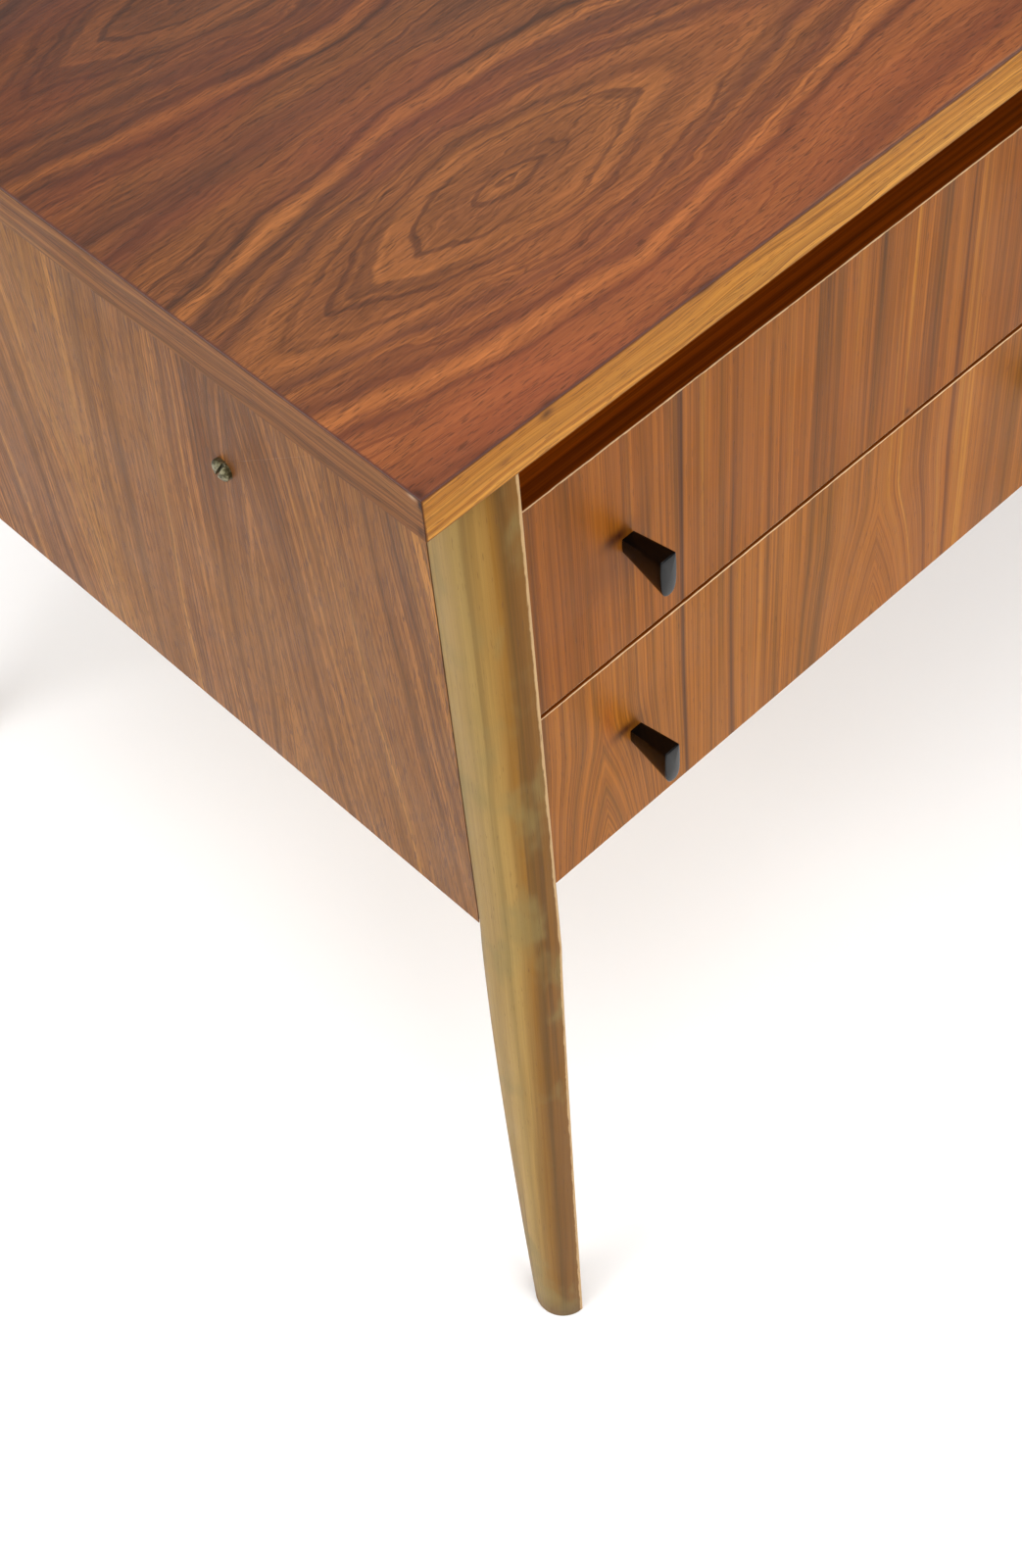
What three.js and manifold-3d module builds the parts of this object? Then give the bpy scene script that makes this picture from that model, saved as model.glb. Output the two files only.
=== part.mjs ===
// Writing desk with a pedestal of two drawers, a knee space and four D-section legs.
// Units are millimetres. +Z is up, +X runs to the user's right and +Y to the back of the desk.
// The origin is on the floor, under the centre of the top.
import * as THREE from 'three';
import { mergeVertices } from 'three/addons/utils/BufferGeometryUtils.js';
import Module from 'manifold-3d';

const wasm = await Module();
wasm.setup();

// ---------------------------------------------------------------- driving dimensions
const deskWidth = 1300;
const deskDepth = 650;
const deskHeight = 745;

const topThickness = 23;
const veneerThickness = 1;
const lippingThickness = 8;

const panelThickness = 18;
const pedestalBottomThickness = 10;

const legRadius = 23.2;           // half of the flat face of the D section, and its bulge
const legFaceInset = 46.6;        // from the end of the top to the flat face of the leg
const legTaper = 0.28;            // share of the radius lost at the floor
const legFootShift = 9.7;         // how far the flat face leans outwards at the floor
const legFootChamfer = 1.4;
const legFootChamferHeight = 5;

const drawerSetback = 27.8;       // drawer faces, behind the front edge of the top
const drawerFrontWidth = 460;
const drawerFrontThickness = 18;
const upperFrontHeight = 132.5;
const lowerFrontHeight = 130;
const drawerGap = 3;              // between the two fronts, one above the other
const drawerHeadroom = 61.5;      // from the underside of the top to the upper front
const frontSideGap = 2;           // between a front and the leg or partition beside it
const boxSideGap = 4;             // between a drawer box and the panel beside it
const boxRearGap = 30;            // between a drawer box and the back panel
const boxWall = 12;               // drawer sides and back
const boxTopDrop = 14;            // top of a drawer side, below the top of its front
const boxBottomRise = 14;         // foot of a drawer side, above the foot of its front
const boxBackDrop = 8;            // top of a drawer back, below the tops of the sides
const drawerBottomThickness = 4;
const drawerBottomRise = 8;       // drawer bottom, above the foot of the sides
const drawerGroove = 5;           // how far the drawer bottom goes into front and sides

const runnerHeight = 12;
const runnerGrooveDepth = 6;
const runnerSideClearance = 1;    // between the runner and the floor of its groove
const runnerClearance = 0.5;      // above and below the runner, in its groove
const runnerFrontInset = 25;      // front end of a runner, behind the back of the drawer front
const runnerDrop = 48.4;          // centre of a runner, below the top of its drawer front

const railRise = 3.5;             // lower edges of the front rails, above the upper front
const railThickness = 18;
const railClearance = 2.7;        // between the rails and the backs of the drawer fronts
const cleatSection = 18;
const cleatEndGap = 30;

const knobInset = 78.4;           // knob axis, from the end of the drawer front
const knobLength = 24.5;
const knobBaseWidth = 7.5;
const knobBaseHeight = 10;
const knobEndWidth = 9.4;
const knobEndRise = 9;            // top of the end face, above the knob axis
const knobEndDrop = 15;           // foot of the end face, below the knob axis
const knobEdge = 0.7;             // bevel round the end face

const knobScrewRadius = 1.8;
const knobScrewDepth = 13;        // how far the screw goes into the knob
const knobScrewHeadRadius = 4;
const knobScrewHeadHeight = 2.4;

const panelScrewFromFront = 174.6;
const panelScrewRadius = 2.2;
const panelScrewLength = 24;
const panelScrewHeadRadius = 5.6;
const panelScrewHeadHeight = 3.8;
const slotWidth = 1.3;
const slotDepth = 1.5;

const glueLine = 0.1;             // between flat faces that are glued or screwed together
const fitGap = 0.3;               // around a shape that is let into another
const cutOver = 2;                // how far a cutting shape runs past the face that it cuts

// ---------------------------------------------------------------- places worked out from them
const left = -deskWidth / 2;
const right = deskWidth / 2;
const front = -deskDepth / 2;
const back = deskDepth / 2;
const underTop = deskHeight - topThickness;
const cabinetHeight = drawerHeadroom + upperFrontHeight + drawerGap + lowerFrontHeight;
const cabinetBottom = underTop - cabinetHeight;

const panelInset = legFaceInset - panelThickness;
const leftPanelFace = left + legFaceInset;      // inner faces of the two side panels
const rightPanelFace = right - legFaceInset;
const backPanelFace = back - drawerSetback - panelThickness;

const drawerFace = front + drawerSetback;
const frontBack = drawerFace + drawerFrontThickness;
const pedestalOpening = drawerFrontWidth + 2 * frontSideGap;
const partitionFace = leftPanelFace + pedestalOpening;
const railFace = frontBack + railClearance;
const boxRear = backPanelFace - boxRearGap;
const boxWidth = pedestalOpening - 2 * boxSideGap;
const runnerWidth = boxSideGap + runnerGrooveDepth - runnerSideClearance;

const lowerFrontBottom = cabinetBottom;
const upperFrontBottom = lowerFrontBottom + lowerFrontHeight + drawerGap;
const pedestalMiddle = leftPanelFace + pedestalOpening / 2;
const upperRunnerHeight = upperFrontBottom + upperFrontHeight - runnerDrop;
const panelScrewPlaces = [
  ['front_panel_screw', front + panelScrewFromFront],
  ['rear_panel_screw', back - panelScrewFromFront],
];

// ---------------------------------------------------------------- materials
const finishes = {
  topVeneer: ['#8a4a30', 0.42],
  lipping: ['#b87a35', 0.5],
  endBand: ['#7a5640', 0.55],
  core: ['#b59a72', 0.8],
  legWood: ['#9c7a48', 0.5],
  panelVeneer: ['#9a6a48', 0.5],
  frontVeneer: ['#9c5f3c', 0.48],
  insideWood: ['#c3a176', 0.7],
  plywood: ['#c9ab80', 0.75],
};

function makeMaterial(color, roughness, metalness = 0) {
  return new THREE.MeshStandardMaterial({ color, roughness, metalness });
}

function wood(finish) {
  return makeMaterial(...finishes[finish]);
}

// ---------------------------------------------------------------- solids
function toSolid(geometry) {
  const bare = geometry.clone();
  bare.deleteAttribute('normal');
  bare.deleteAttribute('uv');
  const merged = mergeVertices(bare, 1e-4);
  return new wasm.Manifold(new wasm.Mesh({
    numProp: 3,
    vertProperties: new Float32Array(merged.attributes.position.array),
    triVerts: new Uint32Array(merged.index.array),
  }));
}

function toGeometry(solid) {
  const mesh = solid.getMesh();
  const geometry = new THREE.BufferGeometry();
  geometry.setAttribute('position', new THREE.BufferAttribute(mesh.vertProperties, 3));
  geometry.setIndex(new THREE.BufferAttribute(mesh.triVerts, 1));
  geometry.computeVertexNormals();
  return geometry;
}

function cut(geometry, cutters) {
  const solid = cutters.reduce((rest, cutter) => rest.subtract(toSolid(cutter)), toSolid(geometry));
  return toGeometry(solid);
}

function box(low, high) {
  const size = high.map((value, axis) => value - low[axis]);
  const geometry = new THREE.BoxGeometry(...size);
  return geometry.translate(...low.map((value, axis) => value + size[axis] / 2));
}

// A round bar along X or Y, from one end to the other.
function bar(axis, radius, from, to, segments = 24) {
  const start = new THREE.Vector3(...from);
  const end = new THREE.Vector3(...to);
  const geometry = new THREE.CylinderGeometry(radius, radius, start.distanceTo(end), segments);
  if (axis === 'x') geometry.rotateZ(Math.PI / 2);
  return geometry.translate(...start.lerp(end, 0.5).toArray());
}

function piece(parent, name, geometry, material) {
  const mesh = new THREE.Mesh(geometry, material);
  mesh.name = name;
  parent.add(mesh);
  return mesh;
}

function board(parent, name, low, high, finish, cutters = []) {
  const blank = box(low, high);
  return piece(parent, name, cutters.length ? cut(blank, cutters) : blank, wood(finish));
}

// ---------------------------------------------------------------- top
function lipping(corners) {
  const shape = new THREE.Shape(corners.map(([x, y]) => new THREE.Vector2(x, y)));
  const depth = topThickness - veneerThickness - glueLine;
  const geometry = new THREE.ExtrudeGeometry(shape, { depth, bevelEnabled: false });
  return geometry.translate(0, 0, underTop);
}

function makeTop() {
  const top = new THREE.Group();
  const coreTop = deskHeight - veneerThickness - glueLine;
  const inset = lippingThickness + glueLine;
  board(top, 'top_veneer', [left, front, deskHeight - veneerThickness], [right, back, deskHeight],
    'topVeneer');
  board(top, 'top_core', [left + inset, front + inset, underTop],
    [right - inset, back - inset, coreTop], 'core');

  // Each lipping is a strip with mitred ends; the mitre leaves one glue line at the corner.
  const mitre = glueLine;
  const deep = lippingThickness;
  const longStrip = side => [
    [left + mitre, side],
    [right - mitre, side],
    [right - deep - mitre, side - Math.sign(side) * deep],
    [left + deep + mitre, side - Math.sign(side) * deep],
  ];
  const shortStrip = side => [
    [side, front + mitre],
    [side, back - mitre],
    [side - Math.sign(side) * deep, back - deep - mitre],
    [side - Math.sign(side) * deep, front + deep + mitre],
  ];
  piece(top, 'front_lipping', lipping(longStrip(front)), wood('lipping'));
  piece(top, 'back_lipping', lipping(longStrip(back)), wood('lipping'));
  piece(top, 'left_lipping', lipping(shortStrip(left)), wood('endBand'));
  piece(top, 'right_lipping', lipping(shortStrip(right)), wood('endBand'));
  return top;
}

// ---------------------------------------------------------------- legs
// D section, drawn with its arris at the origin: the flat face lies on X = 0 and the round side
// bulges to -X * side. end is +1 for a leg whose arris is at the front, -1 at the back.
function legSection(side, end, grow = 0, over = 0) {
  const segments = 28;
  const radius = legRadius + grow;
  const points = [];
  for (let i = 0; i <= segments; i += 1) {
    const angle = Math.PI * i / segments;
    const across = -side * radius * Math.sin(angle);
    points.push(new THREE.Vector2(across, end * (legRadius - radius * Math.cos(angle))));
  }
  if (over > 0) {
    points.push(new THREE.Vector2(side * over, end * (legRadius + radius)));
    points.push(new THREE.Vector2(side * over, end * (legRadius - radius)));
  }
  return new THREE.Shape(points);
}

function legCorner(side, end) {
  return [side > 0 ? leftPanelFace : rightPanelFace, end > 0 ? front : back];
}

function legGeometry(side, end) {
  const heights = [0, legFootChamferHeight];
  const taperSteps = 10;
  for (let i = 1; i <= taperSteps; i += 1) {
    heights.push(legFootChamferHeight + (cabinetBottom - legFootChamferHeight) * i / taperSteps);
  }
  heights.push(underTop - glueLine);
  const steps = heights.length - 1;
  const geometry = new THREE.ExtrudeGeometry(legSection(side, end), {
    depth: steps,
    steps,
    bevelEnabled: false,
  });
  const places = geometry.attributes.position;
  for (let i = 0; i < places.count; i += 1) {
    const height = heights[Math.round(places.getZ(i))];
    const down = Math.max(0, 1 - height / cabinetBottom);
    const chamfer = height === 0 ? legFootChamfer : 0;
    const taper = 1 - legTaper * down ** 1.5;
    const scale = taper * (1 - chamfer / legRadius);
    const lean = side * legFootShift * down ** 0.8;
    const x = places.getX(i) * scale - lean;
    const y = places.getY(i) * scale + end * chamfer / 2;
    places.setXYZ(i, x, y, height);
  }
  geometry.computeVertexNormals();
  return geometry;
}

function makeLegs() {
  const legs = new THREE.Group();
  for (const [endName, end] of [['front', 1], ['back', -1]]) {
    for (const [sideName, side] of [['left', 1], ['right', -1]]) {
      const leg = piece(legs, `${endName}_${sideName}_leg`, legGeometry(side, end), wood('legWood'));
      leg.position.set(...legCorner(side, end), 0);
    }
  }
  return legs;
}

// ---------------------------------------------------------------- panels
// The shape of a leg plus a gap, to let a side panel in against its round back.
function legCutter(side, end) {
  const depth = cabinetHeight + 2 * cutOver;
  const shape = legSection(side, end, fitGap, cutOver);
  const geometry = new THREE.ExtrudeGeometry(shape, { depth, bevelEnabled: false });
  return geometry.translate(...legCorner(side, end), cabinetBottom - cutOver);
}

function sidePanel(parent, name, side, extraCutters) {
  const inner = side > 0 ? leftPanelFace : rightPanelFace;
  const outer = inner - side * panelThickness;
  const low = [Math.min(inner, outer), front + legRadius, cabinetBottom];
  const high = [Math.max(inner, outer), back - legRadius, underTop - glueLine];
  const cutters = [legCutter(side, 1), legCutter(side, -1), ...extraCutters];
  return board(parent, name, low, high, 'panelVeneer', cutters);
}

function panelScrewHole(place) {
  const start = left + panelInset - cutOver;
  const end = left + panelInset + panelScrewLength + fitGap;
  return bar('x', panelScrewRadius + fitGap, [start, place, upperRunnerHeight],
    [end, place, upperRunnerHeight]);
}

function makePanels() {
  const panels = new THREE.Group();
  const panelTop = underTop - glueLine;
  const screwHoles = panelScrewPlaces.map(([, place]) => panelScrewHole(place));
  sidePanel(panels, 'left_side_panel', 1, screwHoles);
  sidePanel(panels, 'right_side_panel', -1, []);

  const partitionBack = partitionFace + panelThickness;
  board(panels, 'partition', [partitionFace, drawerFace, cabinetBottom],
    [partitionBack, backPanelFace - glueLine, panelTop], 'panelVeneer');
  board(panels, 'back_panel', [leftPanelFace + glueLine, backPanelFace, cabinetBottom],
    [rightPanelFace - glueLine, backPanelFace + panelThickness, panelTop], 'panelVeneer');
  board(panels, 'pedestal_bottom', [leftPanelFace + glueLine, railFace, cabinetBottom],
    [partitionFace - glueLine, backPanelFace - glueLine, cabinetBottom + pedestalBottomThickness],
    'plywood');

  const railLow = underTop - drawerHeadroom + railRise;
  board(panels, 'pedestal_front_rail', [leftPanelFace + glueLine, railFace, railLow],
    [partitionFace - glueLine, railFace + railThickness, panelTop], 'frontVeneer');
  board(panels, 'kneehole_front_rail', [partitionBack + glueLine, railFace, railLow],
    [rightPanelFace - glueLine, railFace + railThickness, panelTop], 'frontVeneer');

  const cleatFaces = [
    ['left_cleat', leftPanelFace + glueLine],
    ['partition_cleat', partitionBack + glueLine],
    ['right_cleat', rightPanelFace - glueLine - cleatSection],
  ];
  for (const [name, face] of cleatFaces) {
    board(panels, name, [face, railFace + railThickness + cleatEndGap, panelTop - cleatSection],
      [face + cleatSection, backPanelFace - cleatEndGap, panelTop], 'insideWood');
  }
  return panels;
}

// ---------------------------------------------------------------- runners and their screws
function makeRunners() {
  const runners = new THREE.Group();
  const levels = [
    ['upper', upperRunnerHeight],
    ['lower', lowerFrontBottom + lowerFrontHeight - runnerDrop],
  ];
  const screwHoles = panelScrewPlaces.map(([, place]) => panelScrewHole(place));
  for (const [level, centre] of levels) {
    const sides = [
      ['left', leftPanelFace + glueLine, leftPanelFace + runnerWidth],
      ['right', partitionFace - runnerWidth, partitionFace - glueLine],
    ];
    for (const [side, low, high] of sides) {
      const screwed = level === 'upper' && side === 'left';
      board(runners, `${level}_${side}_runner`,
        [low, frontBack + runnerFrontInset, centre - runnerHeight / 2],
        [high, boxRear, centre + runnerHeight / 2], 'insideWood', screwed ? screwHoles : []);
    }
  }
  return runners;
}

// A slotted screw along +Z: the shank below Z = 0 and a domed head above it.
function screwGeometry(radius, length, headRadius, headHeight, slotAngle) {
  const rim = headHeight * 0.55;
  const profile = [[0, -length], [radius * 0.4, -length], [radius, -length + radius], [radius, 0],
    [headRadius, 0], [headRadius, rim]];
  const domeSteps = 5;
  for (let i = 1; i <= domeSteps; i += 1) {
    const angle = Math.PI / 2 * i / domeSteps;
    const across = i === domeSteps ? 0 : headRadius * Math.cos(angle);
    profile.push([across, rim + (headHeight - rim) * Math.sin(angle)]);
  }
  const points = profile.map(([x, y]) => new THREE.Vector2(x, y));
  const lathe = new THREE.LatheGeometry(points, 24).rotateX(Math.PI / 2);
  const slot = box([-headRadius - cutOver, -slotWidth / 2, headHeight - slotDepth],
    [headRadius + cutOver, slotWidth / 2, headHeight + cutOver]).rotateZ(slotAngle);
  return cut(lathe, [slot]);
}

function makePanelScrews() {
  const screws = new THREE.Group();
  panelScrewPlaces.forEach(([name, place], index) => {
    const geometry = screwGeometry(panelScrewRadius, panelScrewLength, panelScrewHeadRadius,
      panelScrewHeadHeight, 0.9 + index * 1.3);
    const screw = piece(screws, name, geometry, makeMaterial('#8c7448', 0.45, 1));
    screw.rotation.y = -Math.PI / 2;
    screw.position.set(left + panelInset - glueLine, place, upperRunnerHeight);
  });
  return screws;
}

// ---------------------------------------------------------------- drawers
// Outline of the end face of a knob: a flat top, sides that swell a little and a round foot.
function knobOutline() {
  const half = knobEndWidth / 2;
  const shape = new THREE.Shape();
  shape.moveTo(-half * 0.94, knobEndRise);
  shape.quadraticCurveTo(-half * 1.06, -knobEndDrop * 0.1, -half, -knobEndDrop * 0.55);
  shape.bezierCurveTo(-half * 0.9, -knobEndDrop * 0.94, -half * 0.4, -knobEndDrop, 0, -knobEndDrop);
  shape.bezierCurveTo(half * 0.4, -knobEndDrop, half * 0.9, -knobEndDrop * 0.94,
    half, -knobEndDrop * 0.55);
  shape.quadraticCurveTo(half * 1.06, -knobEndDrop * 0.1, half * 0.94, knobEndRise);
  shape.closePath();
  return shape;
}

// A knob stands out along -Y from the origin, and grows from its base to its end face.
function knobGeometry() {
  const steps = 7;
  const geometry = new THREE.ExtrudeGeometry(knobOutline(), {
    depth: steps,
    steps,
    bevelEnabled: false,
    curveSegments: 6,
  });
  const places = geometry.attributes.position;
  const mix = THREE.MathUtils.lerp;
  for (let i = 0; i < places.count; i += 1) {
    const step = Math.round(places.getZ(i));
    const lastBody = steps - 1;
    const along = Math.min(step / lastBody, 1);
    const bevel = step === steps ? knobEdge : 0;
    const reach = step === steps ? knobLength : (knobLength - knobEdge) * along;
    const width = mix(knobBaseWidth / knobEndWidth, 1, along) - 2 * bevel / knobEndWidth;
    const rise = mix(knobBaseHeight / 2, knobEndRise, along) - bevel;
    const drop = mix(knobBaseHeight / 2, knobEndDrop, along) - bevel;
    const share = (places.getY(i) + knobEndDrop) / (knobEndRise + knobEndDrop);
    places.setXYZ(i, places.getX(i) * width, -reach, mix(-drop, rise, share));
  }
  const bore = bar('y', knobScrewRadius + fitGap, [0, cutOver, 0], [0, -knobScrewDepth - fitGap, 0], 16);
  return cut(geometry, [bore]);
}

// A drawer is drawn with its origin at the middle of the foot of its front's outer face.
function makeDrawer(level, frontHeight, frontBottom) {
  const drawer = new THREE.Group();
  drawer.position.set(pedestalMiddle, drawerFace, frontBottom);
  const half = drawerFrontWidth / 2;
  const boxHalf = boxWidth / 2;
  const inner = boxHalf - boxWall;
  const rear = boxRear - drawerFace;
  const thick = drawerFrontThickness;
  const sideTop = frontHeight - boxTopDrop;
  const bottomLow = boxBottomRise + drawerBottomRise;
  const bottomHigh = bottomLow + drawerBottomThickness;
  const runnerCentre = frontHeight - runnerDrop;
  const knobHeight = frontHeight / 2;
  const knobPlaces = [['left', -half + knobInset], ['right', half - knobInset]];

  const bottomFit = drawerGroove - fitGap;
  const bottomSlot = box([-inner - drawerGroove, thick - drawerGroove, bottomLow - fitGap],
    [inner + drawerGroove, rear + cutOver, bottomHigh + fitGap]);
  const screwHoles = knobPlaces.map(([, x]) => bar('y', knobScrewRadius + fitGap,
    [x, -cutOver, knobHeight], [x, thick + cutOver, knobHeight], 16));

  board(drawer, `${level}_drawer_front`, [-half, 0, 0], [half, thick, frontHeight], 'frontVeneer',
    [bottomSlot, ...screwHoles]);
  board(drawer, `${level}_drawer_bottom`, [-inner - bottomFit, thick - bottomFit, bottomLow],
    [inner + bottomFit, rear, bottomHigh], 'plywood');
  board(drawer, `${level}_drawer_back`,
    [-inner + glueLine, rear - boxWall, bottomHigh + fitGap + glueLine],
    [inner - glueLine, rear, sideTop - boxBackDrop], 'insideWood');

  for (const [side, sign] of [['left', -1], ['right', 1]]) {
    const outer = sign * boxHalf;
    const grooveFloor = outer - sign * runnerGrooveDepth;
    const past = outer + sign * cutOver;
    const runnerSlot = box(
      [Math.min(grooveFloor, past), thick - cutOver, runnerCentre - runnerHeight / 2 - runnerClearance],
      [Math.max(grooveFloor, past), rear + cutOver, runnerCentre + runnerHeight / 2 + runnerClearance],
    );
    board(drawer, `${level}_drawer_${side}_side`,
      [Math.min(outer, sign * inner), thick + glueLine, boxBottomRise],
      [Math.max(outer, sign * inner), rear, sideTop], 'insideWood', [bottomSlot, runnerSlot]);
  }

  for (const [side, x] of knobPlaces) {
    const knob = piece(drawer, `${level}_${side}_knob`, knobGeometry(),
      makeMaterial('#16171a', 0.2));
    knob.position.set(x, -glueLine, knobHeight);
    const screw = piece(drawer, `${level}_${side}_knob_screw`,
      screwGeometry(knobScrewRadius, thick + knobScrewDepth, knobScrewHeadRadius,
        knobScrewHeadHeight, x / 50), makeMaterial('#9a9a96', 0.35, 1));
    screw.rotation.x = -Math.PI / 2;
    screw.position.set(x, thick + glueLine, knobHeight);
  }
  return drawer;
}

const desk = new THREE.Group();
desk.add(makeTop(), makeLegs(), makePanels(), makeRunners(), makePanelScrews());
desk.add(makeDrawer('upper', upperFrontHeight, upperFrontBottom));
desk.add(makeDrawer('lower', lowerFrontHeight, lowerFrontBottom));

export default desk;
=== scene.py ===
import math

import bmesh
import bpy
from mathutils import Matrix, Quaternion, Vector


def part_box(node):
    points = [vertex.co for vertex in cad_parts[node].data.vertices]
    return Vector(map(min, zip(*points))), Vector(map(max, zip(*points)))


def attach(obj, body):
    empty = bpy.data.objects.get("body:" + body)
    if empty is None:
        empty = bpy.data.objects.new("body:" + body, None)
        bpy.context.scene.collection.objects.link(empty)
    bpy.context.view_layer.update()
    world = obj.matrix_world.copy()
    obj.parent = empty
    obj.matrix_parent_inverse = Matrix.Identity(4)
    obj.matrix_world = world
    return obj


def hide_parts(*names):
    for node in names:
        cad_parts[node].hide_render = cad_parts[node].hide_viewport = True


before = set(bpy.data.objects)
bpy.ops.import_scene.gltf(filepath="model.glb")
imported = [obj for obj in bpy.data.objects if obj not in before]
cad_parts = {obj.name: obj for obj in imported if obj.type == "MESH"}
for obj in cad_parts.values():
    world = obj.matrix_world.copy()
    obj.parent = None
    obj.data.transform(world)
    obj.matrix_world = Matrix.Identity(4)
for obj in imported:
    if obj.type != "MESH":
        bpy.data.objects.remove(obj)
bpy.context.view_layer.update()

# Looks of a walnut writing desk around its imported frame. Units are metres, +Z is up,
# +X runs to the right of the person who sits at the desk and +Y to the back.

mm = 0.001
scene = bpy.context.scene
scene.view_settings.view_transform = "Standard"

topLow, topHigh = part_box("top_veneer")
deskLeft, deskFront, deskTop = topLow[0], topLow[1], topHigh[2]


cameraLook = {
    "fromCorner": (-0.3636, -0.4826, 0.6553),   # from the top's front left corner
    "heading": 38.94,                           # degrees from +Y towards +X
    "below": 53.97,                             # degrees under the horizon
    "roll": -6.35,
    "lens": 57.66,
}


def makeCamera(look):
    camera = bpy.data.objects.new("deskCamera", bpy.data.cameras.new("deskCamera"))
    scene.collection.objects.link(camera)
    camera.location = Vector((deskLeft, deskFront, deskTop)) + Vector(look["fromCorner"])
    heading, below = math.radians(look["heading"]), math.radians(look["below"])
    forward = Vector((math.cos(below) * math.sin(heading), math.cos(below) * math.cos(heading),
                      -math.sin(below)))
    turn = forward.to_track_quat("-Z", "Y") @ Quaternion((0, 0, 1), math.radians(look["roll"]))
    camera.rotation_mode = "QUATERNION"
    camera.rotation_quaternion = turn
    camera.data.lens = look["lens"]
    camera.data.sensor_width = 36
    camera.data.clip_end = 60
    scene.camera = camera
    print("camera: placed from the front left corner of the top")


lightLook = {
    "sky": 0.62,
    "lamps": {
        # name: place, aimed at, width, height, power in watts
        "overheadSoftbox": ((-0.5, -0.5, 3.0), (0.0, 0.0, 0.6), 2.6, 2.0, 60),
        "frontSoftbox": ((-0.9, -3.2, 2.3), (-0.2, -0.2, 0.5), 2.2, 1.8, 48),
        "leftSoftbox": ((-3.4, 0.3, 2.2), (-0.5, 0.0, 0.5), 2.2, 1.8, 44),
        "backSoftbox": ((1.8, 3.2, 2.6), (0.2, 0.0, 0.5), 2.4, 1.8, 38),
    },
}


def makeLights(look):
    world = bpy.data.worlds.new("studioSky")
    scene.world = world
    world.use_nodes = True
    world.node_tree.nodes["Background"].inputs[0].default_value = (1, 1, 1, 1)
    world.node_tree.nodes["Background"].inputs[1].default_value = look["sky"]
    for name, (place, target, width, height, power) in look["lamps"].items():
        data = bpy.data.lights.new(name, "AREA")
        data.shape = "RECTANGLE"
        data.size, data.size_y, data.energy = width, height, power
        lamp = bpy.data.objects.new(name, data)
        scene.collection.objects.link(lamp)
        lamp.location = place
        lamp.rotation_mode = "QUATERNION"
        lamp.rotation_quaternion = (Vector(target) - Vector(place)).to_track_quat("-Z", "Y")
    print("lights: four softboxes and a pale sky")


def hexColour(text):
    channels = [int(text[i:i + 2], 16) / 255 for i in (1, 3, 5)]
    linear = [c / 12.92 if c <= 0.04045 else ((c + 0.055) / 1.055) ** 2.4 for c in channels]
    return (*linear, 1.0)


# Adds a node with its settings and links. A node given as an input stands for its first output.
def addNode(tree, kind, inputs=(), stops=(), **settings):
    node = tree.nodes.new("ShaderNode" + kind)
    for name, value in settings.items():
        setattr(node, name, value)
    sockets = [socket for socket in node.inputs if socket.enabled]
    pairs = inputs.items() if isinstance(inputs, dict) else enumerate(inputs)
    for key, value in pairs:
        socket = sockets[key] if isinstance(key, int) else next(s for s in sockets if s.name == key)
        if isinstance(value, bpy.types.Node):
            value = next(out for out in value.outputs if out.enabled)
        if isinstance(value, bpy.types.NodeSocket):
            tree.links.new(value, socket)
        elif isinstance(value, str):
            socket.default_value = hexColour(value)
        else:
            socket.default_value = value
    for index, (place, colour) in enumerate(stops):
        elements = node.color_ramp.elements
        element = elements[index] if index < 2 else elements.new(place)
        element.position = place
        element.color = hexColour(colour) if isinstance(colour, str) else (colour,) * 3 + (1,)
    return node


def makeMaterial(name):
    material = bpy.data.materials.new(name)
    material.use_nodes = True
    tree = material.node_tree
    tree.nodes.clear()
    output = tree.nodes.new("ShaderNodeOutputMaterial")
    shader = addNode(tree, "BsdfPrincipled")
    tree.links.new(shader.outputs[0], output.inputs["Surface"])
    return material, tree, shader


# Millimetres from the front left corner of the top and from the floor, one output for each axis.
def woodPlaces(tree):
    place = addNode(tree, "TexCoord").outputs["Object"]
    offset = addNode(tree, "VectorMath", [place, (deskLeft, deskFront, 0)], operation="SUBTRACT")
    scaled = addNode(tree, "VectorMath", [offset, (1000, 1000, 1000)], operation="MULTIPLY")
    return addNode(tree, "SeparateXYZ", [scaled]).outputs


# Noise drawn out along the grain: lengths are the size of one feature in millimetres.
def grainNoise(tree, places, lengths, detail=2.0, roughness=0.5, seed=0.0):
    vector = addNode(tree, "CombineXYZ", list(places))
    shares = [1 / length for length in lengths]
    scaled = addNode(tree, "VectorMath", [vector, shares, (seed, seed * 1.7, seed * 0.6)],
                     operation="MULTIPLY_ADD")
    return addNode(tree, "TexNoise", {"Vector": scaled, "Scale": 1.0, "Detail": detail,
                                      "Roughness": roughness}).outputs["Fac"]


# A bump of 1 round a centre along one axis, and 0 far from it.
def hump(tree, place, centre, width):
    off = addNode(tree, "Math", [place, -centre], operation="ADD")
    share = addNode(tree, "Math", [off, 1 / width], operation="MULTIPLY")
    square = addNode(tree, "Math", [share, share], operation="MULTIPLY")
    negative = addNode(tree, "Math", [square, -1.0], operation="MULTIPLY")
    return addNode(tree, "Math", [negative], operation="EXPONENT").outputs[0]


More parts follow.
